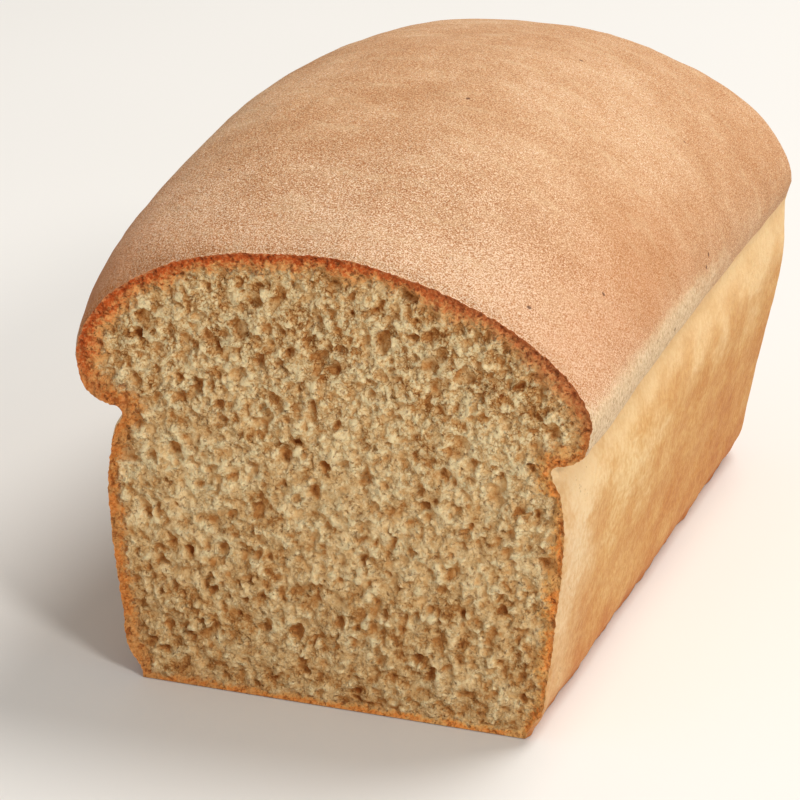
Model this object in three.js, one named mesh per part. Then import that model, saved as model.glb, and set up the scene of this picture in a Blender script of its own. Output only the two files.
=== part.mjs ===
// A tin loaf with its near end sliced off. The loaf is one baked solid: straight walls shaped by
// the tin, a pinch where the dough left the tin's rim, a lip that overhangs the rim, and a dome.
//
// Millimetres, +Z up. +X points to the right of someone facing the cut, and +Y points along the
// loaf, away from the cut face. The origin is under the middle of the loaf's bounding box.
//
// The shape is a subdivided box whose vertices are moved by formula. The box's bottom is the
// base, its two sides and its back are the tin walls, its top is the dome, and its front is the
// flat cut face.

import * as THREE from 'three';
import { mergeVertices } from 'three/addons/utils/BufferGeometryUtils.js';

// Footprint, where the loaf stood on the floor of the tin.
const BASE_HALF_WIDTH = 52;
const BASE_LENGTH = 209.5;
const BASE_CORNER_RADIUS = 13;

// The wall: how far it stands out from the footprint, and at what height. At the cut it draws in
// to a pinch under the lip, and at the whole end it keeps the tin's flare right up to the lip.
const WALL_AT_CUT = [
  [0, 0],
  [2.6, 6],
  [4.5, 22],
  [6.4, 40],
  [6.9, 54],
  [5.3, 64],
  [3, 69.5],
  [7.5, 71],
  [12.2, 74.5],
  [14, 82],
];
const WALL_AT_END = [
  [0, 0],
  [2.6, 6],
  [5.8, 25],
  [9.8, 45],
  [13, 62],
  [12.8, 73],
  [12.7, 78],
  [12.9, 79.8],
  [13.3, 81.6],
  [14.3, 84],
];
const PINCH_INDEX = 6;
const WALL_BLEND_POWER = 0.75;
const END_OVERHANG_RATIO = 0.77;

// The dome. Its ridge climbs from the cut to a peak and falls again towards the whole end.
const CUT_HEIGHT = 116.6;
const PEAK_HEIGHT = 135.5;
const PEAK_FROM_CUT = 110;
const END_HEIGHT = 119.5;
const RIDGE_POWER = 1.75;
const RIDGE_LENGTH = 174;

// The section across the loaf is a superellipse on each side of the ridge, boxier on the left.
const LEFT_POWER = 2.75;
const RIGHT_POWER = 1.78;
const LEFT_POWER_AT_CUT = 2;
const RIGHT_POWER_AT_CUT = 1.72;

// The lip leans to the left in the middle of the loaf, and differs a little at the cut.
const LEFT_SWELL = 6.5;
const RIGHT_SWELL = -2;
const SWELL_POWER = 0.7;
const LEFT_LIP_AT_CUT = 0.9;
const RIGHT_LIP_AT_CUT = -1.6;
const RIDGE_SHIFT_AT_CUT = -4.2;
const CUT_FADE_LENGTH = 25;

// How finely the surface is divided across, along and up the loaf.
const STEPS_ACROSS = 24;
const STEPS_ALONG = 30;
const STEPS_UP = 18;

const WELD_DISTANCE = 0.001;
const RIM_END = BASE_LENGTH + END_OVERHANG_RATIO * WALL_AT_END.at(-1)[0];
const RIDGE_SHARE = RIDGE_LENGTH / RIM_END;
const PINCH_SHARE = PINCH_INDEX / (WALL_AT_CUT.length - 1);

function wallCurve(points) {
  return new THREE.SplineCurve(points.map(([out, height]) => new THREE.Vector2(out, height)));
}

const wallAtCut = wallCurve(WALL_AT_CUT);
const wallAtEnd = wallCurve(WALL_AT_END);

// The wall's outward reach (x) and height (y), part of the way up and part of the way along.
function wallPoint(share, up) {
  const blend = Math.min(share, 1) ** WALL_BLEND_POWER;
  return wallAtCut.getPoint(up).lerp(wallAtEnd.getPoint(up), blend);
}

// 1 at the cut face, falling smoothly to 0 a short way along the loaf.
function nearCut(along) {
  return Math.max(0, 1 - along / CUT_FADE_LENGTH) ** 2;
}

// 0 at both ends of the loaf and 1 part of the way along it.
function swellAt(along) {
  return Math.sin(Math.PI * Math.min(along / RIM_END, 1) ** SWELL_POWER);
}

// Height of the ridge over the floor.
function ridgeHeight(along) {
  if (along < PEAK_FROM_CUT) {
    const share = 1 - along / PEAK_FROM_CUT;
    return PEAK_HEIGHT - (PEAK_HEIGHT - CUT_HEIGHT) * share ** RIDGE_POWER;
  }
  const share = (along - PEAK_FROM_CUT) / (RIM_END - PEAK_FROM_CUT);
  return PEAK_HEIGHT - (PEAK_HEIGHT - END_HEIGHT) * share ** RIDGE_POWER;
}

// How far the lip stands out beyond its usual place. Side is -1 on the left and 1 on the right.
function lipExtra(side, along) {
  const atCut = side < 0 ? LEFT_LIP_AT_CUT : RIGHT_LIP_AT_CUT;
  const swell = side < 0 ? LEFT_SWELL : RIGHT_SWELL;
  return swell * swellAt(along) + atCut * nearCut(along);
}

// Superellipse power of the dome. Side runs from -1 on the left to 1 on the right.
function domePower(side, along) {
  const fade = nearCut(along);
  const left = LEFT_POWER + (LEFT_POWER_AT_CUT - LEFT_POWER) * fade;
  const right = RIGHT_POWER + (RIGHT_POWER_AT_CUT - RIGHT_POWER) * fade;
  return (left + right) / 2 + side * (right - left) / 2;
}

// Moves a point of the outer rectangle at one height onto the outline with rounded back corners.
function roundedOutline(x, y, halfWidth, end, radius) {
  const inner = new THREE.Vector2(
    THREE.MathUtils.clamp(x, radius - halfWidth, halfWidth - radius),
    Math.min(y, end - radius),
  );
  const outward = new THREE.Vector2(x, y).sub(inner).setLength(radius);
  return inner.add(outward);
}

// Loaf point for a point of the unit box: across from -1 to 1, along and up from 0 to 1.
function loafPoint(across, along, up) {
  const wall = wallPoint(along, up);
  const domeShare = Math.max(0, (up - PINCH_SHARE) / (1 - PINCH_SHARE));
  const end = BASE_LENGTH + END_OVERHANG_RATIO * wall.x;
  const ridgeEnd = RIDGE_SHARE * end;

  // Distance out from the ridge line, from 0 on it to 1 on the outline.
  const pastRidge = Math.max(0, (along - RIDGE_SHARE) / (1 - RIDGE_SHARE));
  const reach = Math.max(Math.abs(across), pastRidge);
  const onRidge = Math.min(along * end, ridgeEnd);
  const ridge = new THREE.Vector2(RIDGE_SHIFT_AT_CUT * nearCut(onRidge), onRidge);
  const lipHeight = wallPoint(along, 1).y;
  if (reach === 0) {
    const rise = domeShare * (ridgeHeight(onRidge) - lipHeight);
    return new THREE.Vector3(ridge.x, ridge.y, wall.y + rise);
  }

  // The point of the outline that this point lies towards.
  const side = across / reach;
  const outlineAlong = onRidge + (pastRidge / reach) * (end - ridgeEnd);
  const extra = domeShare * lipExtra(Math.sign(side), outlineAlong);
  const halfWidth = BASE_HALF_WIDTH + wall.x + extra;
  const radius = BASE_CORNER_RADIUS + wall.x;
  const outline = roundedOutline(side * halfWidth, outlineAlong, halfWidth, end, radius);

  // The superellipse between the ridge and the outline.
  const power = domePower(side, onRidge);
  const outwards = Math.sin(reach * Math.PI / 2) ** (2 / power);
  const upwards = reach < 1 ? Math.cos(reach * Math.PI / 2) ** (2 / power) : 0;
  const place = ridge.lerp(outline, outwards);
  const rise = domeShare * (ridgeHeight(place.y) - lipHeight) * upwards;
  return new THREE.Vector3(place.x, place.y, wall.y + rise);
}

// The subdivided box, moved point by point onto the loaf and welded into one closed skin.
function loafGeometry() {
  const box = new THREE.BoxGeometry(2, 1, 1, STEPS_ACROSS, STEPS_ALONG, STEPS_UP);
  box.translate(0, 0.5, 0.5);
  box.deleteAttribute('normal');
  box.deleteAttribute('uv');
  const geometry = mergeVertices(box, WELD_DISTANCE);
  const points = geometry.getAttribute('position');
  for (let i = 0; i < points.count; i += 1) {
    const point = loafPoint(points.getX(i), points.getY(i), points.getZ(i));
    points.setXYZ(i, point.x, point.y, point.z);
  }
  geometry.computeBoundingBox();
  const middle = geometry.boundingBox.getCenter(new THREE.Vector3());
  geometry.translate(-middle.x, -middle.y, 0);
  geometry.computeVertexNormals();
  return geometry;
}

const crust = new THREE.MeshStandardMaterial({ color: 0xd09a63, roughness: 0.85, metalness: 0 });
const loaf = new THREE.Mesh(loafGeometry(), crust);
loaf.name = 'loaf';

const model = new THREE.Group();
model.name = 'tin_loaf';
model.add(loaf);

export default model;
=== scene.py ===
"""The looks of a tin loaf with its near end sliced off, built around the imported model.

One mesh stands for the CAD loaf. Its crust repeats the loaf's driving dimensions from the CAD,
and its cut face is a field of open crumb cells inside the CAD's flat cut. The crust and the crumb
each have a procedural material.

Shapes are worked out in millimetres, with the cut face at Y = 0 and X = 0 in the middle of the
footprint, and are moved to the frame's place and to metres at the end.
"""

import math

import bpy
import numpy as np
from mathutils import Matrix, Vector
from mathutils.geometry import delaunay_2d_cdt


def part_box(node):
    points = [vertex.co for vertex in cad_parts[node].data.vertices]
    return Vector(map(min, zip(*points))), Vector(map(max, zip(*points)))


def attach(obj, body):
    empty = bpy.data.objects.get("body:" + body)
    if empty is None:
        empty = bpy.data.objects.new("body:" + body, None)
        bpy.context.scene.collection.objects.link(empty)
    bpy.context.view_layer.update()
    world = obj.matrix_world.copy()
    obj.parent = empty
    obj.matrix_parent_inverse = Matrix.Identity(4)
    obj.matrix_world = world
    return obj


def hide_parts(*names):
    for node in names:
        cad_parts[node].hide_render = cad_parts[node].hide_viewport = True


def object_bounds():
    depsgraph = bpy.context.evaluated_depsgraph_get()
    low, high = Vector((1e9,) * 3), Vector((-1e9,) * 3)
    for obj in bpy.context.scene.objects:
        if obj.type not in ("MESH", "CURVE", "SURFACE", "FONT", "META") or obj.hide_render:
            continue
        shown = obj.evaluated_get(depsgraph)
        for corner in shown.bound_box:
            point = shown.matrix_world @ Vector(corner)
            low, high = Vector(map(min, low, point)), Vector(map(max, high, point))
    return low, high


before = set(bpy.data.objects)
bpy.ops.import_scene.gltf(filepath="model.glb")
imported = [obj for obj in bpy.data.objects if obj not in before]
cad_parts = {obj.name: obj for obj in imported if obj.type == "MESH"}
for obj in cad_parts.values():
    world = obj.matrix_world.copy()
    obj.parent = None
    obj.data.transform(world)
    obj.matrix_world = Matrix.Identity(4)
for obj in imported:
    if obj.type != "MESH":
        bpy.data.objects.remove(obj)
cad_low, cad_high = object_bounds()

MM = 0.001

# Footprint and walls, as in the CAD: outward reach and height.
BASE_HALF_WIDTH = 52
BASE_LENGTH = 209.5
BASE_CORNER_RADIUS = 13
WALL_AT_CUT = [
    (0, 0),
    (2.6, 6),
    (4.5, 22),
    (6.4, 40),
    (6.9, 54),
    (5.3, 64),
    (3, 69.5),
    (7.5, 71),
    (12.2, 74.5),
    (14, 82),
]
WALL_AT_END = [
    (0, 0),
    (2.6, 6),
    (5.8, 25),
    (9.8, 45),
    (13, 62),
    (12.8, 73),
    (12.7, 78),
    (12.9, 79.8),
    (13.3, 81.6),
    (14.3, 84),
]
WALL_STEPS = 9
PINCH_SHARE = 6 / WALL_STEPS
WALL_BLEND_POWER = 0.75
END_OVERHANG_RATIO = 0.77

# Dome, as in the CAD.
CUT_HEIGHT = 116.6
PEAK_HEIGHT = 135.5
PEAK_FROM_CUT = 110
END_HEIGHT = 119.5
RIDGE_POWER = 1.75
RIDGE_LENGTH = 174
LEFT_POWER = 2.75
RIGHT_POWER = 1.78
LEFT_POWER_AT_CUT = 2
RIGHT_POWER_AT_CUT = 1.72
LEFT_SWELL = 6.5
RIGHT_SWELL = -2
SWELL_POWER = 0.7
LEFT_LIP_AT_CUT = 0.9
RIGHT_LIP_AT_CUT = -1.6
RIDGE_SHIFT_AT_CUT = -4.2
CUT_FADE_LENGTH = 25
RIM_END = BASE_LENGTH + END_OVERHANG_RATIO * WALL_AT_END[-1][0]
RIDGE_SHARE = RIDGE_LENGTH / RIM_END
TINY = 1e-9

# How finely the surface is divided. The crust's columns halve twice on the way from the cut.
WALL_COLUMNS = 196
DOME_COLUMNS = 344
BASE_COLUMNS = 232
FINE_ROWS = [0, 0.5, 1.0, 1.55]
MIDDLE_ROWS = [2.35, 3.3, 4.4]
COARSE_START = 5.8
COARSE_ROWS = 82
COARSE_EVERY = 4
CURVE_SAMPLES = 4000
BASE_STEP = 6
BASE_MARGIN = 8

# The cut face: a box of this size holds its outline.
FACE_HALF_WIDTH = 66
FACE_HEIGHT = 117
CRUMB_STEP = 0.452
CRUMB_JITTER = 0.07
RASTER_STEP = 0.12

# Mean depth of the torn crumb behind the CAD's cut, and depth of the crust's cut edge.
CRUMB_DEPTH = 1.7
RIM_DEPTH = 0.95
DEEPEST_CELL = 2.8
HOLLOW_CELLS = 14

# Open cells and grains stand upright, lean outwards at the sides, and lie flat near the base.
SIDE_LEAN = 22
SIDE_REACH = 50
LEAN_SPREAD = 0.45
FLAT_BELOW = 6
UPRIGHT_ABOVE = 20
WARP_MARGIN = 1.2
BEHIND_ALL = -9

# Thickness of the crust round the cut face.
LEFT_CRUST = 2.7
RIGHT_CRUST = 3.3
TOP_CRUST = 4.6
BASE_CRUST = 1.3
LEFT_LIP_CRUST = 1.9
RIGHT_LIP_CRUST = 0.6

# Dents in the crust: depth, size and seed of each kind.
CRUST_DENTS = [(0.4, 27, 61), (0.2, 9, 62), (0.07, 4, 63)]
FOOT_DENTS = [(0.9, 15, 64), (0.45, 5, 65)]
TORN_EDGE_DENTS = [(0.22, 1.6, 66), (0.2, 0.8, 67)]


# ---------------------------------------------------------------------------------------------
# Small tools


def smooth(value, start, end):
    """0 before start, 1 after end, and a smooth rise between them."""
    share = np.clip((value - start) / (end - start), 0, 1)
    return share * share * (3 - 2 * share)


def cell_value(cells, seed):
    """A repeatable number from 0 to 1 for each whole-numbered cell."""
    mixed = np.full(cells[0].shape, seed * 7919 + 17, np.uint64)
    for axis, prime in zip(cells, (73856093, 19349663, 83492791)):
        mixed ^= (axis.astype(np.int64) + 100000).astype(np.uint64) * np.uint64(prime)
        mixed = (mixed ^ (mixed >> np.uint64(13))) * np.uint64(0x5BD1E995)
        mixed ^= mixed >> np.uint64(17)
    return (mixed & np.uint64(0xFFFFFF)).astype(float) / 0xFFFFFF


def noise(places, size, seed):
    """Smooth noise, mostly from -1 to 1, with lumps about one size across. places are axes."""
    scaled = [np.asarray(axis, float) / size + 0.37 * seed for axis in places]
    whole = [np.floor(axis) for axis in scaled]
    shares = [axis - low for axis, low in zip(scaled, whole)]
    eased = [s * s * s * (s * (s * 6 - 15) + 10) for s in shares]
    total = 0
    for corner in np.ndindex(*[2] * len(places)):
        cells = [low + step for low, step in zip(whole, corner)]
        weight = 1
        slope = 0
        for axis, step in enumerate(corner):
            weight = weight * (eased[axis] if step else 1 - eased[axis])
            slope = slope + (cell_value(cells, seed + 101 * axis) * 2 - 1) * (shares[axis] - step)
        total = total + weight * slope
    return total * 1.9


def catmull_rom(points, share):
    """Points of the uniform Catmull-Rom curve that the CAD's walls follow."""
    points = np.array(points, float)
    place = np.clip(share, 0, 1) * (len(points) - 1)
    index = np.minimum(np.floor(place).astype(int), len(points) - 2)
    t = (place - index)[..., None]
    last = len(points) - 1
    before = points[np.maximum(index - 1, 0)]
    start = points[index]
    end = points[index + 1]
    after = points[np.minimum(index + 2, last)]
    # At the curve's two ends the CAD's spline repeats the end point.
    slope_in = (end - before) * 0.5
    slope_out = (after - start) * 0.5
    cubic = (2 * start - 2 * end + slope_in + slope_out) * t**3
    square = (-3 * start + 3 * end - 2 * slope_in - slope_out) * t**2
    return cubic + square + slope_in * t + start


# ---------------------------------------------------------------------------------------------
# The loaf's form, as in the CAD


def wall_point(share, up):
    """The wall's outward reach and height, part of the way along and part of the way up."""
    blend = (np.minimum(share, 1) ** WALL_BLEND_POWER)[..., None]
    at_cut = catmull_rom(WALL_AT_CUT, up)
    at_end = catmull_rom(WALL_AT_END, up)
    return at_cut + (at_end - at_cut) * blend


def near_cut(along):
    return np.maximum(0, 1 - along / CUT_FADE_LENGTH) ** 2


def swell_at(along):
    return np.sin(np.pi * np.minimum(along / RIM_END, 1) ** SWELL_POWER)


def ridge_height(along):
    rising = np.maximum(0, 1 - along / PEAK_FROM_CUT) ** RIDGE_POWER
    past = np.maximum(0, (along - PEAK_FROM_CUT) / (RIM_END - PEAK_FROM_CUT))
    falling = past**RIDGE_POWER
    rise = (PEAK_HEIGHT - CUT_HEIGHT) * rising
    fall = (PEAK_HEIGHT - END_HEIGHT) * falling
    return PEAK_HEIGHT - rise - fall


def lip_extra(side, along):
    at_cut = np.where(side < 0, LEFT_LIP_AT_CUT, RIGHT_LIP_AT_CUT)
    swell = np.where(side < 0, LEFT_SWELL, RIGHT_SWELL)
    return np.abs(side) * (swell * swell_at(along) + at_cut * near_cut(along))


def dome_power(side, along):
    fade = near_cut(along)
    left = LEFT_POWER + (LEFT_POWER_AT_CUT - LEFT_POWER) * fade
    right = RIGHT_POWER + (RIGHT_POWER_AT_CUT - RIGHT_POWER) * fade
    return (left + right) / 2 + side * (right - left) / 2


def rounded_outline(x, y, half_width, end, radius):
    """Moves points of the outer rectangle onto the outline with rounded back corners."""
    inner_x = np.clip(x, radius - half_width, half_width - radius)
    inner_y = np.minimum(y, end - radius)
    out_x = x - inner_x
    out_y = y - inner_y
    length = np.maximum(np.hypot(out_x, out_y), TINY)
    return inner_x + out_x / length * radius, inner_y + out_y / length * radius


def loaf_points(across, along, up):
    """Points of the smooth loaf for points of the unit box: across -1 to 1, along and up 0 to 1."""
    across, along, up = np.broadcast_arrays(across, along, up)
    wall = wall_point(along, up)
    reach_out = wall[..., 0]
    dome_share = np.maximum(0, (up - PINCH_SHARE) / (1 - PINCH_SHARE))
    end = BASE_LENGTH + END_OVERHANG_RATIO * reach_out
    ridge_end = RIDGE_SHARE * end
    past_ridge = np.maximum(0, (along - RIDGE_SHARE) / (1 - RIDGE_SHARE))
    reach = np.maximum(np.abs(across), past_ridge)
    safe = np.maximum(reach, TINY)
    on_ridge = np.minimum(along * end, ridge_end)
    ridge_x = RIDGE_SHIFT_AT_CUT * near_cut(on_ridge)
    lip_height = wall_point(along, np.ones_like(up))[..., 1]

    side = across / safe
    outline_along = on_ridge + past_ridge / safe * (end - ridge_end)
    half_width = BASE_HALF_WIDTH + reach_out + dome_share * lip_extra(np.sign(side), outline_along)
    radius = BASE_CORNER_RADIUS + reach_out
    outline = rounded_outline(side * half_width, outline_along, half_width, end, radius)

    power = dome_power(side, on_ridge)
    outwards = np.sin(reach * np.pi / 2) ** (2 / power)
    upwards = np.maximum(0, np.cos(reach * np.pi / 2)) ** (2 / power)
    x = ridge_x + (outline[0] - ridge_x) * outwards
    y = on_ridge + (outline[1] - on_ridge) * outwards
    rise = dome_share * (ridge_height(y) - lip_height) * upwards
    return np.stack([x, y, wall[..., 1] + rise], -1)


# ---------------------------------------------------------------------------------------------
# The crust's grid


def evenly(path, start, end, count):
    """count + 1 values from start to end that are evenly spaced along path(value)."""
    values = np.linspace(start, end, CURVE_SAMPLES)
    points = path(values)
    steps = np.linalg.norm(np.diff(points, axis=0), axis=1)
    length = np.concatenate([[0], np.cumsum(steps)])
    return np.interp(np.linspace(0, length[-1], count + 1), length, values)


def section_columns():
    """Across and up of each fine column, from the left base edge over the dome to the right."""
    zero = np.zeros(CURVE_SAMPLES)
    ups = evenly(lambda v: loaf_points(zero + 1, zero, v), 0, 1, WALL_COLUMNS)
    tops = evenly(lambda v: loaf_points(v, zero, zero + 1), -1, 1, DOME_COLUMNS)
    across = np.concatenate([-np.ones(WALL_COLUMNS), tops, np.ones(WALL_COLUMNS)])
    up = np.concatenate([ups[:-1], np.ones(DOME_COLUMNS + 1), ups[-2::-1]])
    return across, up


class Skin:
    """Collects vertices, their unit-box places and faces of the whole loaf."""

    def __init__(self):
        self.points = []
        self.unit = []
        self.faces = {"crust": [], "end": [], "base": [], "cut": []}
        self.count = 0

    def add(self, points, unit):
        index = np.arange(self.count, self.count + len(points))
        self.points.append(points)
        self.unit.append(unit)
        self.count += len(points)
        return index

    def strip(self, near, far, group="crust"):
        """Quads between two rows of as many columns, or fans where the far row has half."""
        faces = self.faces[group]
        if len(near) == len(far):
            for a, b, c, d in zip(near[:-1], near[1:], far[1:], far[:-1]):
                faces.append((a, b, c, d))
            return
        for k in range(len(far) - 1):
            left, middle, right = near[2 * k : 2 * k + 3]
            faces.append((left, middle, far[k]))
            faces.append((middle, far[k + 1], far[k]))
            faces.append((middle, right, far[k + 1]))


def row_shares():
    """How far along the loaf each row of the crust is, as a share of its length."""
    fine = np.array(FINE_ROWS) / RIM_END
    middle = np.array(MIDDLE_ROWS) / RIM_END
    coarse = np.linspace(COARSE_START / RIM_END, 1, COARSE_ROWS)
    return fine, middle, coarse


def add_crust(skin):
    """The walls and the dome, row by row from the cut, and the rows' vertex numbers."""
    across, up = section_columns()
    rows = []
    for shares, step in zip(row_shares(), (1, 2, COARSE_EVERY)):
        for share in shares:
            a, u = across[::step], up[::step]
            along = np.full(len(a), share)
            unit = np.stack([a, along, u], -1)
            rows.append(skin.add(loaf_points(a, along, u), unit))
    for near, far in zip(rows, rows[1:]):
        skin.strip(near, far)
    return rows


def add_end(skin, last_row):
    """The end wall, whose edge is the crust's last row. Returns the vertices of its bottom edge."""
    across, up = section_columns()
    walls = WALL_COLUMNS // COARSE_EVERY
    domes = DOME_COLUMNS // COARSE_EVERY
    a = across[::COARSE_EVERY][walls : walls + domes + 1]
    u = up[::COARSE_EVERY][: walls + 1]
    grid = np.zeros((walls + 1, domes + 1), int)
    grid[:, 0] = last_row[: walls + 1]
    grid[:, -1] = last_row[walls + domes :][::-1]
    grid[-1, :] = last_row[walls : walls + domes + 1]
    for k in range(walls):
        inner = a[1:-1]
        along = np.ones(len(inner))
        height = np.full(len(inner), u[k])
        unit = np.stack([inner, along, height], -1)
        grid[k, 1:-1] = skin.add(loaf_points(inner, along, height), unit)
    for k in range(walls):
        skin.strip(grid[k + 1], grid[k], "end")
    return grid[0]


def fill_outline(skin, group, outline, inside, axes, flip):
    """Triangles inside an outline of vertices, through more points. axes are the flat ones."""
    points = np.concatenate(skin.points)
    flat = np.concatenate([points[outline][:, axes], points[inside][:, axes]])
    owner = np.concatenate([outline, inside])
    edges = [(k, (k + 1) % len(outline)) for k in range(len(outline))]
    corners = [Vector(p) for p in flat]
    made = delaunay_2d_cdt(corners, edges, [], 1, 1e-6)
    origin = [source[0] for source in made[3]]
    for face in made[2]:
        numbers = [owner[origin[k]] for k in face]
        skin.faces[group].append(tuple(reversed(numbers)) if flip else tuple(numbers))


def add_base(skin, rows, back):
    """The flat base, whose front edge is as fine as the cut face. Returns that edge."""
    left = np.array([row[0] for row in rows])
    right = np.array([row[-1] for row in rows])
    start, end = (skin.points[0][k] for k in (rows[0][0], rows[0][-1]))
    share = np.linspace(0, 1, BASE_COLUMNS + 1)[1:-1, None]
    edge_points = start + (end - start) * share
    edge_unit = np.concatenate([share * 2 - 1, share * 0, share * 0], 1)
    edge = skin.add(edge_points, edge_unit)
    outline = np.concatenate([left[::-1], edge, right, back[1:-1][::-1]])
    half = BASE_HALF_WIDTH - BASE_MARGIN + 1
    xs = np.arange(-half, half + 1, BASE_STEP)
    ys = np.arange(BASE_MARGIN, BASE_LENGTH - BASE_MARGIN, BASE_STEP)
    x, y = (axis.ravel() for axis in np.meshgrid(xs, ys))
    inner = np.stack([x, y, np.zeros(len(x))], -1)
    unit = np.stack([x / BASE_HALF_WIDTH, y / BASE_LENGTH, np.zeros(len(x))], -1)
    inside = skin.add(inner, unit)
    fill_outline(skin, "base", outline, inside, [0, 1], True)
    return edge


# ---------------------------------------------------------------------------------------------
# The cut face


def distance_to(points, outline):
    """Distance of flat points to a closed outline, and the number of the nearest corner."""
    start = outline
    step = np.roll(outline, -1, axis=0) - outline
    length = (step**2).sum(-1)
    far = np.zeros(len(points))
    nearest = np.zeros(len(points), int)
    for low in range(0, len(points), 4000):
        part = points[low : low + 4000]
        away = part[:, None, :] - start[None]
        share = np.clip((away * step).sum(-1) / length, 0, 1)
        gap = np.hypot(*np.moveaxis(away - share[..., None] * step, -1, 0))
        best = gap.argmin(1)
        far[low : low + 4000] = gap[np.arange(len(part)), best]
        nearest[low : low + 4000] = best
    return far, nearest


def inside_outline(points, outline):
    """True for flat points inside a closed outline."""
    x, z = points[:, 0], points[:, 1]
    inside = np.zeros(len(points), bool)
    for (x0, z0), (x1, z1) in zip(outline, np.roll(outline, -1, axis=0)):
        if z0 == z1:
            continue
        crosses = ((z0 > z) != (z1 > z)) & (x < (x1 - x0) * (z - z0) / (z1 - z0) + x0)
        inside ^= crosses
    return inside


def openness(z):
    """How open the crumb is: 0 in the fine crumb of the lower loaf, 1 under the dome."""
    return smooth(z, 50, 88)


def scattered(rng, kinds):
    """Lumps strewn over the cut face. Rows are x, z, radius and how much longer than wide."""
    square_cm = 2 * FACE_HALF_WIDTH * FACE_HEIGHT / 100
    lumps = []
    for smallest, largest, per_square_cm, stretch, share_low in kinds:
        count = int(per_square_cm * square_cm)
        x = rng.uniform(-FACE_HALF_WIDTH, FACE_HALF_WIDTH, count)
        z = rng.uniform(0, FACE_HEIGHT, count)
        kept = rng.random(count) < share_low + (1 - share_low) * openness(z)
        x, z, count = x[kept], z[kept], kept.sum()
        share = rng.random(count) ** 1.6
        radius = smallest + (largest - smallest) * share
        stretched = 1 + (stretch - 1) * rng.random(count)
        lumps.append(np.stack([x, z, radius, stretched], -1))
    return np.concatenate(lumps)


def press_lumps(rng, lumps, raster, xs, zs, flat, centre_of):
    """Raises a raster to the top of each lump, an ellipsoid round a centre at its own height."""
    for x, z, radius, stretch in lumps:
        low = 1 - smooth(z, FLAT_BELOW, UPRIGHT_ABOVE)
        upright = np.radians(90 - SIDE_LEAN * x / SIDE_REACH)
        lean = upright * (1 - low) + rng.normal(0, LEAN_SPREAD)
        stretch = stretch * (1 + 0.5 * low)
        radius = radius * (1 - 0.25 * low)
        size = radius * stretch + WARP_MARGIN
        i0, i1 = np.searchsorted(xs, [x - size, x + size])
        k0, k1 = np.searchsorted(zs, [z - size, z + size])
        dx = flat[0][k0:k1, i0:i1] - x
        dz = flat[1][k0:k1, i0:i1] - z
        along = (dx * np.cos(lean) + dz * np.sin(lean)) / stretch
        beside = -dx * np.sin(lean) + dz * np.cos(lean)
        left = radius**2 - along**2 - beside**2
        top = centre_of(x, z, radius) + np.sqrt(np.maximum(left, 0))
        top = np.where(left > 0, top, BEHIND_ALL)
        here = raster[k0:k1, i0:i1]
        np.maximum(here, top, out=here)


# Radius from and to, number per square centimetre, stretch, and how many show low in the loaf.
OPEN_CELLS = [
    (1.4, 2.3, 0.9, 1.6, 0.1),
    (0.85, 1.5, 8, 1.9, 0.35),
    (0.45, 0.85, 24, 1.8, 1),
]
CRUMB_GRAINS = [
    (0.8, 1.2, 8, 1.5, 0.6),
    (0.4, 0.8, 60, 1.5, 1),
]


def crumb_raster():
    """How far the torn crumb lies behind the cut, in millimetres, over a raster of the face."""
    rng = np.random.default_rng(11)
    xs = np.arange(-FACE_HALF_WIDTH - 1, FACE_HALF_WIDTH + 1, RASTER_STEP)
    zs = np.arange(-1, FACE_HEIGHT + 1, RASTER_STEP)
    x, z = np.meshgrid(xs, zs)
    warped_x = x + 0.6 * noise([x, z], 2.3, 31) + 0.35 * noise([x, z], 0.9, 32)
    warped_z = z + 0.6 * noise([x, z], 2.3, 33) + 0.35 * noise([x, z], 0.9, 34)
    flat = [warped_x, warped_z]

    def cell_centre(cell_x, cell_z, radius):
        return radius * rng.uniform(-0.6, 0.7)

    cells = np.zeros_like(x)
    press_lumps(rng, scattered(rng, OPEN_CELLS), cells, xs, zs, flat, cell_centre)
    cells = np.minimum(cells, DEEPEST_CELL)

    # Tearing leaves hills and hollows. The grains lie deeper in a hollow and in an open cell.
    rough = 0.9 + 0.1 * openness(z)
    torn = rough * (0.8 * noise([x, z], 8, 35) + 0.9 * noise(flat, 3.3, 36))
    buried = 0.25 + 0.35 * (1 - smooth(torn, -0.7, 0.3)) + 0.6 * smooth(cells, 0.3, 0.9)
    level = torn - buried

    def grain_centre(grain_x, grain_z, radius):
        spot = np.searchsorted(zs, grain_z) - 1, np.searchsorted(xs, grain_x) - 1
        return rng.normal(0, 0.2) + level[spot]

    grains = torn.copy()
    press_lumps(rng, scattered(rng, CRUMB_GRAINS), grains, xs, zs, flat, grain_centre)
    return xs, zs, CRUMB_DEPTH - grains + rough * 0.85 * cells


def blurred(grid, radius):
    """A grid averaged over a square of that many cells to each side, twice."""
    for _ in range(2):
        for axis in (0, 1):
            padded = np.concatenate([np.zeros_like(grid.take([0], axis)), grid], axis)
            total = np.cumsum(padded, axis)
            last = grid.shape[axis]
            upper = np.minimum(np.arange(last) + radius + 1, last)
            lower = np.maximum(np.arange(last) - radius, 0)
            width = (upper - lower).reshape((-1, 1) if axis == 0 else (1, -1))
            grid = (total.take(upper, axis) - total.take(lower, axis)) / width
    return grid


def sampled(raster, xs, zs, points):
    """A raster read at flat points, blended between its four nearest values."""
    i = np.clip((points[:, 0] - xs[0]) / RASTER_STEP, 0, len(xs) - 1.001)
    k = np.clip((points[:, 1] - zs[0]) / RASTER_STEP, 0, len(zs) - 1.001)
    i0, k0 = i.astype(int), k.astype(int)
    di, dk = i - i0, k - k0
    top = raster[k0, i0] * (1 - di) + raster[k0, i0 + 1] * di
    bottom = raster[k0 + 1, i0] * (1 - di) + raster[k0 + 1, i0 + 1] * di
    return top * (1 - dk) + bottom * dk


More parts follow.
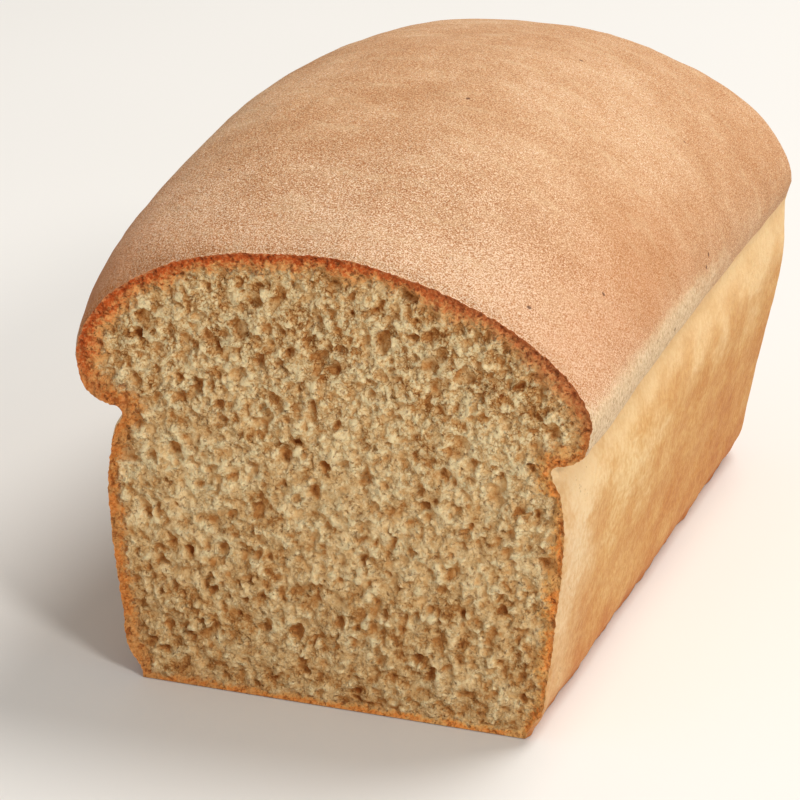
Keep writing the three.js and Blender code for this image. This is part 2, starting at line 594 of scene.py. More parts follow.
def crust_thickness(outline):
    """Thickness of the crust that shows on the cut, at each corner of the outline."""
    x, z = outline[:, 0], outline[:, 1]
    top = smooth(z, 70, 90)
    left = x < 0
    overhang = smooth(z, 66, 72) * (1 - smooth(z, 84, 96))
    side = np.where(left, LEFT_CRUST, RIGHT_CRUST)
    thickness = side + (TOP_CRUST - side) * top
    thickness += overhang * np.where(left, LEFT_LIP_CRUST, RIGHT_LIP_CRUST)
    thickness = np.where(z < 0.5, BASE_CRUST, thickness)
    wobble = 1 + 0.4 * noise([x, z], 9, 41) + 0.35 * noise([x, z], 3, 42)
    return thickness * wobble


def cut_points(outline):
    """Jittered points inside the outline, each one's distance to it and its nearest corner."""
    rng = np.random.default_rng(5)
    rows = np.arange(0.2, FACE_HEIGHT, CRUMB_STEP * math.sqrt(0.75))
    columns = np.arange(-FACE_HALF_WIDTH - 1, FACE_HALF_WIDTH + 1, CRUMB_STEP)
    x, z = np.meshgrid(columns, rows)
    x = x + CRUMB_STEP / 2 * (np.arange(len(rows)) % 2)[:, None]
    points = np.stack([x.ravel(), z.ravel()], -1)
    points += rng.uniform(-CRUMB_JITTER, CRUMB_JITTER, points.shape)
    points = points[inside_outline(points, outline)]
    far, nearest = distance_to(points, outline)
    clear = far > CRUMB_STEP * 0.55
    return points[clear], far[clear], nearest[clear]


def cut_relief(points, rim, depth):
    """How far behind the cut points are: torn crumb, and the pitted edge of the crust."""
    flat = [points[:, 0], points[:, 1]]
    grain = 0.3 * noise(flat, 1.5, 54) + 0.4 * noise(flat, 0.85, 55)
    holes = smooth(noise(flat, 1.7, 57), 0.3, 0.75)
    crust_relief = RIM_DEPTH + grain + 0.9 * holes + 0.5 * (depth - CRUMB_DEPTH)
    crumb_share = smooth(rim, 0.35, 1.1)
    relief = crumb_share * depth + (1 - crumb_share) * crust_relief
    waves = 0.15 + 0.15 * noise(flat, 34, 56)
    return np.maximum(0, relief + waves)


def meet_ring(y, ring_y, far):
    """Brings the face to the crust's edge, on a slope that is too gentle to cross the crust."""
    at_ring = 1 - smooth(far, 0.1, 0.6)
    y = y * (1 - at_ring) + ring_y * at_ring
    y = np.minimum(y, ring_y + 0.9 * far + 0.5 * far**2)
    return y - y.min()


def add_cut(skin, ring):
    """The cut face inside its ring. Returns its vertices, and their rim and hollow values."""
    edge = np.concatenate(skin.points)[ring]
    outline = edge[:, [0, 2]]
    points, far, nearest = cut_points(outline)
    rim = far / crust_thickness(outline)[nearest]
    xs, zs, raster = crumb_raster()
    depth = sampled(raster, xs, zs, points)
    around = sampled(blurred(raster, HOLLOW_CELLS), xs, zs, points)
    y = meet_ring(cut_relief(points, rim, depth), edge[nearest, 1], far)

    zero = np.zeros(len(points))
    unit = np.stack([points[:, 0] / FACE_HALF_WIDTH, zero, points[:, 1] / FACE_HEIGHT], -1)
    inside = skin.add(np.stack([points[:, 0], y, points[:, 1]], -1), unit)
    fill_outline(skin, "cut", ring, inside, [0, 2], False)
    return inside, rim, depth - around


# ---------------------------------------------------------------------------------------------
# Natural unevenness of the crust


def vertex_normals(points, faces):
    normals = np.zeros_like(points)
    for size in (3, 4):
        group = np.array([f for f in faces if len(f) == size])
        corners = points[group]
        across = corners[:, 2] - corners[:, 0]
        if size == 3:
            normal = np.cross(corners[:, 1] - corners[:, 0], across)
        else:
            normal = np.cross(across, corners[:, 3] - corners[:, 1])
        for k in range(size):
            np.add.at(normals, group[:, k], normal)
    return normals / np.maximum(np.linalg.norm(normals, axis=1, keepdims=True), 1e-12)


def dents(places, kinds):
    return sum(depth * (1 + noise(places, size, seed)) for depth, size, seed in kinds)


def uneven_crust(skin, rows):
    """Presses the crust in a little, and never out, so that it stays inside the CAD's box."""
    points = np.concatenate(skin.points)
    unit = np.concatenate(skin.unit)
    normals = vertex_normals(points, skin.faces["crust"] + skin.faces["end"])
    x, y, z = points.T
    low_wall = 1 - smooth(z, 1, 9)
    torn = 1 - smooth(y, 0.2, 2.4)
    press = dents([x, y, z], CRUST_DENTS)
    press += low_wall * dents([y, x], FOOT_DENTS)
    press += torn * dents([x, z], TORN_EDGE_DENTS)
    move = -normals * press[:, None]
    move[unit[:, 2] == 0, 2] = 0
    move[unit[:, 1] == 0, 1] = 0
    moved = points + move
    front = rows[0]
    moved[front, 1] = 0.2 + 0.2 * noise([x[front], z[front]], 1.1, 68)
    moved[:, 1] += 0.45 * (1 - smooth(moved[:, 1], 0, 5))
    skin.points = [moved]
    skin.unit = [unit]


# ---------------------------------------------------------------------------------------------
# The mesh


def loaf_parts():
    """The skin, its lowest corner before it was made uneven, and the cut face's values."""
    skin = Skin()
    rows = add_crust(skin)
    smooth_low = np.min([block.min(0) for block in skin.points], axis=0)
    back = add_end(skin, rows[-1])
    uneven_crust(skin, rows)
    edge = add_base(skin, rows, back)
    ring = np.concatenate([edge, rows[0][::-1]])
    inside, rim, hollow = add_cut(skin, ring)
    return skin, smooth_low, inside, rim, hollow


def crust_masks(points, unit):
    """How much each vertex is top crust, pale torn band along the lip, and brown shoulder, whose
    extra brown on the left is painted shade.
    """
    _, along, up = unit.T
    x, y, z = points.T
    lip_height = wall_point(along, np.ones_like(up))[:, 1]
    top = smooth(up, 6.9 / WALL_STEPS, 7.9 / WALL_STEPS)
    above = z - lip_height
    band = smooth(above, -11, -5) * (1 - smooth(above, 0, 7))
    fade = 1 - 0.9 * smooth(y, 75, 150)
    right = smooth(x, 20, 40)
    left = 0.35 * smooth(-x, 20, 40)
    shred = band * (right * fade + left)
    shoulder = smooth(above, 0, 8) * (1 - smooth(above, 12, 42))
    # The brown over the lip is the crust's own; its greater strength on the left, fading towards
    # the back, is painted shade.
    right_share = 0.08 + 0.37 * (1 - smooth(y, 40, 140))
    left_share = 1 - 0.65 * smooth(y, 30, 170)
    shoulder *= right_share + (left_share - right_share) * smooth(-x, -30, 40)
    return top, shred, shoulder


# The bake map, a square of MAP_SIZE. Each part of the skin has a scale in steps of the map per
# millimetre and a start, for its two directions.
MAP_SIZE = 1024
MAP_WALL = 82
MAP_DOME = 156
MAP_LENGTH = 220
MAP_END_HALF_WIDTH = 65
MAP_END_HEIGHT = 84
MAP_PLACES = {
    "crust": ((2.18, 6), (2.18, 532)),
    "end": ((2.1, 712), (2.1, 760)),
    "base": ((1.9, 722.2), (2.3, 6)),
    "cut": ((4.45, 304.15), (4.4, 6)),
}


def float_attribute(mesh, name, values):
    attribute = mesh.attributes.new(name, "FLOAT", "POINT")
    attribute.data.foreach_set("value", np.asarray(values, np.float32))


def way_round(across, up):
    """Rough distance of crust points up the left wall, over the dome and down the right wall."""
    turn = np.where(across <= -1, up * MAP_WALL, 0)
    on_dome = (up >= 1) & (np.abs(across) < 1)
    turn = np.where(on_dome, MAP_WALL + (across + 1) / 2 * MAP_DOME, turn)
    turn = np.where((up >= 1) & (across <= -1), MAP_WALL, turn)
    return np.where(across >= 1, MAP_WALL + MAP_DOME + (1 - up) * MAP_WALL, turn)


def layout(mesh, skin, points, unit, groups):
    """A map of the whole surface with no overlaps, for baking."""
    across, along, up = unit.T
    x, y, z = points.T
    lengths = {
        "crust": (way_round(across, up), along * MAP_LENGTH),
        "end": ((across + 1) * MAP_END_HALF_WIDTH, up * MAP_END_HEIGHT),
        "base": (x, y),
        "cut": (x, z),
    }
    uv = np.zeros((len(mesh.loops), 2))
    corner = np.zeros(len(mesh.loops), int)
    mesh.loops.foreach_get("vertex_index", corner)
    starts = np.zeros(len(mesh.polygons), int)
    sizes = np.zeros(len(mesh.polygons), int)
    mesh.polygons.foreach_get("loop_start", starts)
    mesh.polygons.foreach_get("loop_total", sizes)
    owner = np.repeat(groups, sizes)
    for number, name in enumerate(skin.faces):
        mine = owner == number
        for axis in (0, 1):
            scale, start = MAP_PLACES[name][axis]
            uv[mine, axis] = (lengths[name][axis][corner[mine]] * scale + start) / MAP_SIZE
    layer = mesh.uv_layers.new(name="OFBake")
    layer.data.foreach_set("uv", uv.ravel())


def make_loaf(crust, crumb):
    """The loaf's object, and where the middle of its footprint is along X in the frame."""
    skin, smooth_low, inside, rim, hollow = loaf_parts()
    points = np.concatenate(skin.points)
    unit = np.concatenate(skin.unit)
    low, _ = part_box("loaf")
    shift = np.array([low.x / MM - smooth_low[0], low.y / MM, low.z / MM])

    mesh = bpy.data.meshes.new("tin_loaf_bread")
    faces = [face for group in skin.faces.values() for face in group]
    sizes = [len(group) for group in skin.faces.values()]
    groups = np.repeat(np.arange(len(sizes)), sizes)
    mesh.from_pydata(((points + shift) * MM).tolist(), [], faces)
    cut = list(skin.faces).index("cut")
    mesh.materials.append(crust)
    mesh.materials.append(crumb)
    mesh.polygons.foreach_set("material_index", (groups == cut).astype(np.int32))
    mesh.polygons.foreach_set("use_smooth", np.ones(len(groups), bool))

    rims = np.zeros(len(points))
    hollows = np.zeros(len(points))
    rims[inside] = rim
    hollows[inside] = hollow
    top, shred, shoulder = crust_masks(points, unit)
    float_attribute(mesh, "rim", rims)
    float_attribute(mesh, "hollow", hollows)
    float_attribute(mesh, "top", top)
    float_attribute(mesh, "shred", shred)
    float_attribute(mesh, "shoulder", shoulder)
    layout(mesh, skin, points, unit, groups)
    mesh.update()
    mark_sharp(mesh, groups, list(skin.faces))

    loaf = bpy.data.objects.new("tin_loaf_bread", mesh)
    bpy.context.scene.collection.objects.link(loaf)
    return loaf, shift[0] * MM


def mark_sharp(mesh, groups, names):
    """Sharp edges where the cut face or the base meets the crust."""
    cut, base = names.index("cut"), names.index("base")
    kind = np.where(groups == cut, 1, np.where(groups == base, 2, 0))
    loop_edges = np.zeros(len(mesh.loops), int)
    mesh.loops.foreach_get("edge_index", loop_edges)
    sizes = np.zeros(len(mesh.polygons), int)
    mesh.polygons.foreach_get("loop_total", sizes)
    owner = np.repeat(kind, sizes)
    lowest = np.full(len(mesh.edges), 9)
    highest = np.full(len(mesh.edges), -1)
    np.minimum.at(lowest, loop_edges, owner)
    np.maximum.at(highest, loop_edges, owner)
    sharp = mesh.attributes.new("sharp_edge", "BOOLEAN", "EDGE")
    sharp.data.foreach_set("value", lowest != highest)


# ---------------------------------------------------------------------------------------------
# Materials


class Shading:
    """Short names for the nodes of one material. Sizes are in millimetres."""

    def __init__(self, name):
        self.material = bpy.data.materials.new(name)
        self.material.use_nodes = True
        self.tree = self.material.node_tree
        self.tree.nodes.clear()
        output = self.tree.nodes.new("ShaderNodeOutputMaterial")
        self.shader = self.tree.nodes.new("ShaderNodeBsdfPrincipled")
        self.tree.links.new(self.shader.outputs[0], output.inputs["Surface"])
        self.place = self.tree.nodes.new("ShaderNodeTexCoord").outputs["Object"]

    def put(self, socket, value):
        if isinstance(value, bpy.types.NodeSocket):
            self.tree.links.new(value, socket)
        else:
            socket.default_value = value

    def surface(self, **values):
        """Sets the shader's own sockets, with _ for each space in their names."""
        for name, value in values.items():
            self.put(self.shader.inputs[name.replace("_", " ")], value)

    def attribute(self, name):
        node = self.tree.nodes.new("ShaderNodeAttribute")
        node.attribute_name = name
        return node.outputs["Fac"]

    def axes(self):
        node = self.tree.nodes.new("ShaderNodeSeparateXYZ")
        self.put(node.inputs[0], self.place)
        return node.outputs

    def stretched(self, x, y, z):
        node = self.tree.nodes.new("ShaderNodeMapping")
        self.put(node.inputs["Vector"], self.place)
        self.put(node.inputs["Scale"], (x, y, z))
        return node.outputs[0]

    def math(self, kind, first, second):
        node = self.tree.nodes.new("ShaderNodeMath")
        node.operation = kind
        self.put(node.inputs[0], first)
        self.put(node.inputs[1], second)
        return node.outputs[0]

    def total(self, first, *others):
        for other in others:
            first = self.math("ADD", first, other)
        return first

    def product(self, first, *others):
        for other in others:
            first = self.math("MULTIPLY", first, other)
        return first

    def ramp(self, value, low, high, to_low=0.0, to_high=1.0):
        """A smooth rise from to_low to to_high as value goes from low to high."""
        node = self.tree.nodes.new("ShaderNodeMapRange")
        node.interpolation_type = "SMOOTHSTEP"
        for name, given in zip(
            ("Value", "From Min", "From Max", "To Min", "To Max"),
            (value, low, high, to_low, to_high),
        ):
            self.put(node.inputs[name], given)
        return node.outputs[0]

    def sway(self, texture, most, spread=0.2):
        """A noise texture, which stays around 0.5, brought to between -most and most."""
        return self.ramp(texture, 0.5 - spread, 0.5 + spread, -most, most)

    def warped(self, size, reach):
        """The place moved about by up to reach, in lumps of that size."""
        node = self.tree.nodes.new("ShaderNodeTexNoise")
        self.put(node.inputs["Vector"], self.place)
        self.put(node.inputs["Scale"], 1 / (size * MM))
        away = self.tree.nodes.new("ShaderNodeVectorMath")
        away.operation = "MULTIPLY_ADD"
        self.put(away.inputs[0], node.outputs["Color"])
        self.put(away.inputs[1], (2 * reach * MM,) * 3)
        self.put(away.inputs[2], self.place)
        return away.outputs[0]

    def noise(self, size, detail=2.0, roughness=0.5, place=None):
        node = self.tree.nodes.new("ShaderNodeTexNoise")
        self.put(node.inputs["Vector"], place or self.place)
        self.put(node.inputs["Scale"], 1 / (size * MM))
        self.put(node.inputs["Detail"], detail)
        self.put(node.inputs["Roughness"], roughness)
        return node.outputs[0]

    def scatter(self, size, place, feature="F1"):
        """A texture of scattered points about one size apart."""
        node = self.tree.nodes.new("ShaderNodeTexVoronoi")
        node.feature = feature
        self.put(node.inputs["Vector"], place)
        self.put(node.inputs["Scale"], 1 / (size * MM))
        return node.outputs

    def spots(self, size):
        """Distance to the nearest of scattered points, in sizes."""
        return self.scatter(size, self.place)["Distance"]

    def flecks(self, size, place):
        """Distance to the edge of scattered grains about one size across, and each one's tone."""
        edge = self.scatter(size, place, "DISTANCE_TO_EDGE")["Distance"]
        return edge, self.scatter(size, place)["Color"]

    def blend(self, share, first, second):
        node = self.tree.nodes.new("ShaderNodeMix")
        node.data_type = "RGBA"
        self.put(node.inputs["Factor"], share)
        self.put(node.inputs["A"], first)
        self.put(node.inputs["B"], second)
        return node.outputs["Result"]

    def colours(self, value, stops):
        node = self.tree.nodes.new("ShaderNodeValToRGB")
        self.put(node.inputs[0], value)
        elements = node.color_ramp.elements
        while len(elements) < len(stops):
            elements.new(1.0)
        for element, (place, shade) in zip(elements, stops):
            element.position = place
            element.color = shade
        return node.outputs[0]

    def bump(self, height, depth, before=None):
        node = self.tree.nodes.new("ShaderNodeBump")
        self.put(node.inputs["Height"], height)
        self.put(node.inputs["Distance"], depth * MM)
        if before is not None:
            self.put(node.inputs["Normal"], before)
        return node.outputs[0]


def colour(red, green, blue):
    """A shader colour for the sRGB colour given in steps of 0 to 255."""
    values = []
    for level in (red, green, blue):
        share = level / 255
        values.append(share / 12.92 if share <= 0.04045 else ((share + 0.055) / 1.055) ** 2.4)
    return (*values, 1.0)


# Colours of the cut face: its crumb, and the crust's edge round it from the outside in.
# The crumb's stops also serve as painted light and shade, from its hollows up to its raised grains.
CRUMB_STOPS = [
    (0.0, colour(142, 78, 28)),
    (0.3, colour(196, 138, 76)),
    (0.55, colour(224, 182, 124)),
    (0.8, colour(244, 210, 156)),
    (1.0, colour(255, 230, 180)),
]
TOP_RIM_STOPS = [
    (0.0, colour(206, 128, 76)),
    (0.1, colour(194, 88, 36)),
    (0.35, colour(210, 100, 40)),
    (0.6, colour(230, 150, 84)),
    (0.9, colour(234, 176, 108)),
]
SIDE_RIM_STOPS = [
    (0.0, colour(236, 160, 88)),
    (0.35, colour(242, 146, 64)),
    (0.7, colour(240, 176, 98)),
    (1.0, colour(230, 186, 124)),
]
# Painted shade in the crumb's pores.
CRUMB_PORE_SHADE = colour(150, 86, 38)
RIGHT_LIP_OUTSIDE = colour(194, 118, 68)
RIGHT_LIP_INSIDE = colour(232, 174, 114)
BARE_SIDE_RIM = colour(232, 184, 114)
LEFT_SIDE_RIM = colour(180, 106, 48)
DARK_RIM_GRAIN = colour(136, 60, 24)
LIGHT_RIM_GRAIN = colour(236, 176, 116)
# Painted shade in the pores of the crust's cut edge, on the walls and on the dome.
SIDE_RIM_PORE_SHADE = colour(160, 84, 34)
TOP_RIM_PORE_SHADE = colour(118, 48, 18)

# Colours of the crust.
DOME_STOPS = [
    (0.0, colour(156, 98, 54)),
    (0.35, colour(194, 142, 96)),
    (0.6, colour(208, 166, 124)),
    (1.0, colour(240, 214, 186)),
]
WALL_STOPS = [
    (0.0, colour(180, 106, 46)),
    (0.35, colour(200, 139, 73)),
    (0.65, colour(213, 162, 97)),
    (1.0, colour(232, 198, 142)),
]
BAND_STOPS = [
    (0.34, colour(176, 134, 90)),
    (0.46, colour(220, 190, 148)),
    (0.64, colour(242, 218, 180)),
]
DOME_FLOUR = colour(222, 192, 152)
# The shoulder's own brown, also used as painted shade on the left.
SHOULDER_BROWN_AND_SHADE = colour(184, 106, 44)
WALL_CREAM = colour(232, 204, 166)
WALL_TOP = colour(236, 202, 152)
WALL_FOOT = colour(190, 108, 46)
# Painted shade in the crust's pits.
PIT_SHADE = colour(132, 74, 36)
# Painted shade in a few pinholes on the dome.
PINHOLE_SHADE = colour(92, 48, 22)


class CrumbTextures:
    """What the crumb's colour, with its painted light and shade, and its bumps share."""

    def __init__(self, s):
        self.hollow = s.attribute("hollow")
        self.raised = s.ramp(self.hollow, 0.0, 0.8, 1.0, 0.35)
        self.grit = s.noise(0.45, detail=3.0, roughness=0.7)
        bent = s.warped(0.9, reach=0.55)
        fleck_edge, self.fleck_tone = s.flecks(1.15, bent)
        self.flakes = s.noise(1.3, detail=4.0, roughness=0.7, place=bent)
        gap_wish = s.ramp(s.noise(2.6), 0.38, 0.6, 0.25, 1.0)
        self.gaps = s.product(s.ramp(fleck_edge, 0.02, 0.2, 1.0, 0.0), gap_wish)
        self.pores = s.ramp(s.noise(1.1, roughness=0.6), 0.58, 0.72)


def crumb_colour_light_and_shade(s, textures, z):
    """Painted light where the crumb, its grit and its flakes stand out, and painted shade down in
    its cells, gaps and pores, over the crumb's own mottled tone.
    """
    # Painted light on the grit and the flakes, which the bumps raise, and painted shade in the gaps
    # between the flecks, which the bumps press in.
    fine = s.total(s.sway(textures.grit, 0.15), s.sway(textures.fleck_tone, 0.12, spread=0.3))
    fine = s.math("SUBTRACT", fine, s.product(textures.gaps, 0.3))
    fine = s.total(fine, s.ramp(textures.flakes, 0.5, 0.55, -0.1, 0.14))
    fine = s.product(fine, s.ramp(z, 50 * MM, 90 * MM, 0.5, 1.15))
    # Painted shade: darker where the crumb lies deeper than the crumb round it, and painted light
    # where it stands out.
    tone = s.total(
        s.product(textures.hollow, -0.42),
        s.sway(s.noise(5.5, roughness=0.55), 0.18),
        s.sway(s.noise(2.4), 0.08),
        s.product(fine, textures.raised),
        s.sway(s.noise(22, detail=1.0), 0.06),
        s.ramp(z, 20 * MM, 60 * MM, 0.58, 0.74),
    )
    # Painted shade in the pores.
    return s.blend(s.product(textures.pores, 0.5), s.colours(tone, CRUMB_STOPS), CRUMB_PORE_SHADE)


def top_rim_colour(s, x, depth):
    """The dome's crust where it is cut: red-brown outside, and paler to the right."""
    paler = s.blend(depth, RIGHT_LIP_OUTSIDE, RIGHT_LIP_INSIDE)
    return s.blend(s.ramp(x, 0.0, 60 * MM, 0.0, 0.6), s.colours(depth, TOP_RIM_STOPS), paler)


def side_rim_colour(s, x, depth):
    """The walls' crust where it is cut: golden, bare in places, and browner to the left."""
    bare = s.ramp(s.noise(4), 0.46, 0.62, 0.0, 0.7)
    golden = s.blend(bare, s.colours(depth, SIDE_RIM_STOPS), BARE_SIDE_RIM)
    return s.blend(s.ramp(x, -45 * MM, 45 * MM, 0.5, 0.0), golden, LEFT_SIDE_RIM)


# The crust's edge on the cut face, with painted shade in its pores.
def rim_colour(s, x, z, depth, pores):
    high = s.ramp(z, 66 * MM, 90 * MM)
    crust = s.blend(high, side_rim_colour(s, x, depth), top_rim_colour(s, x, depth))
    grains = s.noise(0.7, detail=3.0, roughness=0.65)
    crust = s.blend(s.ramp(grains, 0.34, 0.5, 0.5, 0.0), crust, DARK_RIM_GRAIN)
    crust = s.blend(s.ramp(grains, 0.52, 0.7, 0.0, 0.5), crust, LIGHT_RIM_GRAIN)
    # Painted shade in the pores, which the bumps press in.
    return s.blend(s.product(pores, 0.65), crust, s.blend(high, SIDE_RIM_PORE_SHADE, TOP_RIM_PORE_SHADE))


def crumb_normal(s, textures, share, pits):
    """Bumps finer than the mesh. share is 1 on the crumb and 0 on the crust's edge."""
    crisp = s.total(textures.grit, s.ramp(textures.flakes, 0.47, 0.57, 0.0, 0.7))
    fine = s.bump(s.product(crisp, s.product(textures.raised, share)), 0.17)
    middle = s.bump(s.product(textures.gaps, s.product(textures.raised, -1.0)), 0.2, fine)
    return s.bump(s.product(pits, -1.0), 0.22, middle)


def crumb_material():
    """The cut face. The rim attribute is 0 at its outline and 1 where the crust ends."""
    s = Shading("crumb")
    x, _, z = s.axes()
    textures = CrumbTextures(s)
    rim = s.attribute("rim")
    wobble = s.sway(s.noise(1.3, detail=4.0, roughness=0.7), 0.38, spread=0.25)
    depth = s.total(rim, s.product(wobble, s.ramp(rim, 0.0, 0.5, 0.5, 1.0)))
    share = s.ramp(depth, 0.8, 1.4)
    rim_pores = s.ramp(s.noise(1.5, roughness=0.6), 0.54, 0.68)
    pits = s.blend(share, rim_pores, textures.pores)
    crust = rim_colour(s, x, z, depth, rim_pores)
    s.surface(
        Base_Color=s.blend(share, crust, crumb_colour_light_and_shade(s, textures, z)),
        Roughness=s.ramp(textures.grit, 0.3, 0.7, 0.82, 0.98),
        Specular_IOR_Level=0.2,
        Subsurface_Weight=0.12,
        Subsurface_Radius=(1.0, 0.75, 0.55),
        Subsurface_Scale=0.8 * MM,
        Normal=crumb_normal(s, textures, share, pits),
    )
    return s.material


class CrustTextures:
    """What the parts of the crust share. near and nearest fall from 1 at the cut to 0."""

    def __init__(self, s):
        y = s.axes()[1]
        self.near = s.ramp(y, cad_low.y, cad_low.y + 90 * MM, 1.0, 0.0)
        self.nearest = s.ramp(y, cad_low.y, cad_low.y + 42 * MM, 1.0, 0.0)
        self.speckle = s.noise(0.38, detail=3.0, roughness=0.75)
        self.broad = s.noise(45, detail=1.0)


def dome_colour_and_shade(s, textures, x):
    """Floury and speckled, with the brown shoulder over the lip; painted shade makes the left side
    darker and its shoulder browner.
    """
    patches = s.noise(13, detail=3.0, roughness=0.6)
    speckle = s.sway(textures.speckle, 0.75, spread=0.18)
    speckle = s.product(speckle, s.ramp(textures.near, 0, 1, 0.6, 1.0))
    tone = s.total(
        speckle,
        s.sway(patches, 0.06),
        s.sway(textures.broad, 0.08),
        s.ramp(textures.nearest, 0, 1, 0.44, 0.6),
        # Painted shade: the dome darker to the left.
        s.ramp(x, -40 * MM, 50 * MM, -0.04, 0.0),
    )
    flour = s.noise(9, detail=4.0, roughness=0.6, place=s.stretched(0.55, 1.5, 1.0))
    dome = s.blend(s.ramp(flour, 0.48, 0.75, 0.0, 0.3), s.colours(tone, DOME_STOPS), DOME_FLOUR)
    brown = s.product(s.attribute("shoulder"), s.ramp(patches, 0.3, 0.7, 0.6, 0.85))
    return s.blend(brown, dome, SHOULDER_BROWN_AND_SHADE)


def wall_colour(s, textures, z):
    """Mottled gold, browner at the foot, and creamy near the cut and under the lip."""
    blotches = s.noise(9, detail=3.0, roughness=0.55, place=s.stretched(1.0, 0.5, 0.8))
    grain = s.noise(1.6, detail=3.0, roughness=0.6)
    gold = s.total(
        s.sway(blotches, 0.16),
        s.ramp(z, 0.0, 74 * MM, 0.26, 0.78),
        s.sway(textures.broad, 0.1),
        s.sway(grain, 0.14),
        s.ramp(textures.near, 0, 1, 0.0, 0.1),
    )
    cream = s.product(
        s.ramp(blotches, 0.35, 0.6, 0.3, 0.8),
        textures.nearest,
        s.ramp(grain, 0.35, 0.65, 0.65, 1.0),
        s.ramp(z, 0.0, 60 * MM, 0.35, 1.0),
    )
    wall = s.blend(cream, s.colours(gold, WALL_STOPS), WALL_CREAM)
    high = s.total(z, s.sway(blotches, 5 * MM))
    wall = s.blend(s.ramp(high, 50 * MM, 74 * MM, 0.0, 0.6), wall, WALL_TOP)
    low = s.total(z, s.sway(blotches, 3 * MM))
    return s.blend(s.ramp(low, 0.0, 15 * MM, 0.75, 0.0), wall, WALL_FOOT)


def pale_band(s):
    """How pale the torn band along the lip is, and the crumbs on it."""
    shred = s.attribute("shred")
    ragged = s.noise(2.2, detail=3.0, roughness=0.6, place=s.stretched(1.0, 0.4, 1.0))
    ragged = s.total(shred, s.sway(ragged, 0.16))
    pale = s.product(s.ramp(ragged, 0.05, 1.0), s.ramp(shred, 0.0, 0.2))
    crumbs = s.noise(0.75, detail=3.0, roughness=0.7, place=s.stretched(1.0, 1.0, 0.6))
    return pale, crumbs


def fine_pits(s, near):
    """Pits in patches, most of them near the cut, which the bumps press in and the colour darkens
    with painted shade.
    """
    reach = s.ramp(s.noise(6, detail=1.0), 0.5, 0.75, 0.0, 0.28)
    pits = s.ramp(s.math("SUBTRACT", s.spots(1.1), reach), -0.1, 0.04, 1.0, 0.0)
    return s.product(pits, s.ramp(near, 0, 1, 0.2, 0.7))


def crust_normal(s, pits, crumbs_on_band):
    fine = s.bump(s.noise(0.5, detail=3.0, roughness=0.6), 0.2)
    crumbs = s.bump(crumbs_on_band, 0.6, fine)
    middle = s.bump(s.noise(1.6, roughness=0.55), 0.3, crumbs)
    broad = s.bump(s.noise(5), 0.5, middle)
    return s.bump(s.product(pits, -1.0), 0.18, broad)


def crust_material():
    """The dome, the walls and the base. The top attribute is 1 on the dome and 0 on the walls."""
    s = Shading("crust")
    x, _, z = s.axes()
    textures = CrustTextures(s)
    top = s.attribute("top")
    top_share = s.ramp(s.total(top, s.sway(textures.speckle, 0.1)), 0.3, 0.7)
    crust = s.blend(top_share, wall_colour(s, textures, z), dome_colour_and_shade(s, textures, x))
    pale, crumbs = pale_band(s)
    crust = s.blend(s.product(pale, 0.8), crust, s.colours(crumbs, BAND_STOPS))
    pits = fine_pits(s, textures.near)
    # Painted shade in the pits.
    crust = s.blend(s.product(pits, 0.5), crust, PIT_SHADE)
    # Painted shade in a few scattered pinholes on the dome.
    holes = s.product(s.ramp(s.spots(16), 0.028, 0.045, 0.85, 0.0), top)
    s.surface(
        Base_Color=s.blend(holes, crust, PINHOLE_SHADE),
        Roughness=s.ramp(textures.speckle, 0.3, 0.7, 0.62, 0.85),
        Specular_IOR_Level=0.3,
        Subsurface_Weight=0.06,
        Subsurface_Radius=(1.0, 0.5, 0.25),
        Subsurface_Scale=1 * MM,
        Normal=crust_normal(s, pits, s.product(crumbs, pale)),
    )
    return s.material


# ---------------------------------------------------------------------------------------------
# Floor, light and camera

FLOOR_SIZE = 12.0
FLOOR_GAP = 0.2
FLOOR_DARK = colour(226, 224, 220)
FLOOR_LIGHT = colour(233, 231, 228)
SKY = (1.0, 0.985, 0.96, 1.0)
SKY_STRENGTH = 0.4
LAMP_TINT = (1.0, 0.97, 0.93)

# The camera, solved from the photo. It aims at a point in the plane of the cut face.
CAMERA_AZIMUTH = 18.677
CAMERA_ELEVATION = 20.840
CAMERA_ROLL = 0.763
CAMERA_DISTANCE = 823.593
CAMERA_LENS = 158.348
CAMERA_TARGET_X = 17.015
CAMERA_TARGET_Z = 82.703
SENSOR_WIDTH = 36.0


def floor_material():
    s = Shading("pale_floor")
    s.surface(Base_Color=s.blend(s.noise(420), FLOOR_DARK, FLOOR_LIGHT), Roughness=0.7)
    return s.material


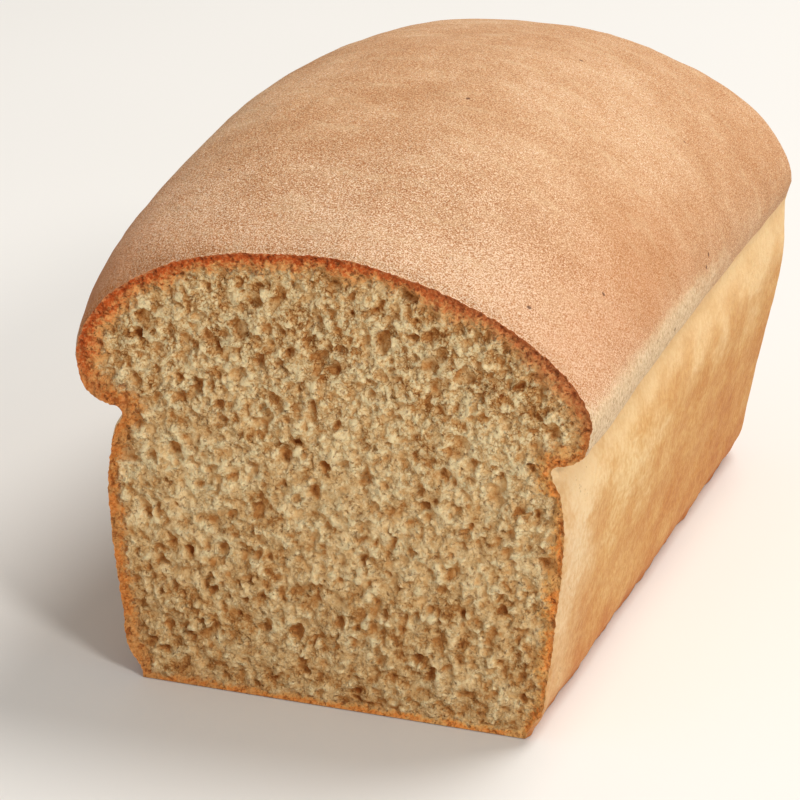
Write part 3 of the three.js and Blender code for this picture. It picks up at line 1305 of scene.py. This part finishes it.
def make_floor():
    mesh = bpy.data.meshes.new("floor")
    half = FLOOR_SIZE / 2
    corners = [(-half, -half, 0), (half, -half, 0), (half, half, 0), (-half, half, 0)]
    mesh.from_pydata(corners, [], [(0, 1, 2, 3)])
    mesh.materials.append(floor_material())
    floor = bpy.data.objects.new("floor", mesh)
    floor.location.z = cad_low.z - FLOOR_GAP * MM
    bpy.context.scene.collection.objects.link(floor)


def area_light(name, place, target, size, power):
    data = bpy.data.lights.new(name, "AREA")
    data.shape = "DISK"
    data.size = size
    data.energy = power
    data.color = LAMP_TINT
    light = bpy.data.objects.new(name, data)
    light.location = place
    light.rotation_mode = "QUATERNION"
    light.rotation_quaternion = (Vector(target) - Vector(place)).to_track_quat("-Z", "Y")
    bpy.context.scene.collection.objects.link(light)


def make_light():
    world = bpy.data.worlds.new("studio")
    world.use_nodes = True
    background = world.node_tree.nodes["Background"]
    background.inputs["Color"].default_value = SKY
    background.inputs["Strength"].default_value = SKY_STRENGTH
    bpy.context.scene.world = world
    middle = (cad_low + cad_high) / 2
    area_light("key", (0.65, 0.9, 2.0), middle, size=1.2, power=40)
    area_light("front", (1.3, -1.1, 1.2), middle, size=0.4, power=16)


def make_camera(footprint_x):
    azimuth = math.radians(CAMERA_AZIMUTH)
    elevation = math.radians(CAMERA_ELEVATION)
    target = Vector((footprint_x + CAMERA_TARGET_X * MM, cad_low.y, CAMERA_TARGET_Z * MM))
    back = Vector(
        (
            math.sin(azimuth) * math.cos(elevation),
            -math.cos(azimuth) * math.cos(elevation),
            math.sin(elevation),
        )
    )
    data = bpy.data.cameras.new("camera")
    data.sensor_width = SENSOR_WIDTH
    data.lens = CAMERA_LENS
    camera = bpy.data.objects.new("camera", data)
    turn = (-back).to_track_quat("-Z", "Y").to_matrix()
    roll = Matrix.Rotation(math.radians(CAMERA_ROLL), 3, "Z")
    camera.matrix_world = Matrix.Translation(target + back * CAMERA_DISTANCE * MM) @ (
        turn @ roll
    ).to_4x4()
    bpy.context.scene.collection.objects.link(camera)
    bpy.context.scene.camera = camera


bpy.context.scene.view_settings.view_transform = "Standard"
make_floor()
make_light()
loaf, footprint_x = make_loaf(crust_material(), crumb_material())
make_camera(footprint_x)
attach(loaf, "root")
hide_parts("loaf")
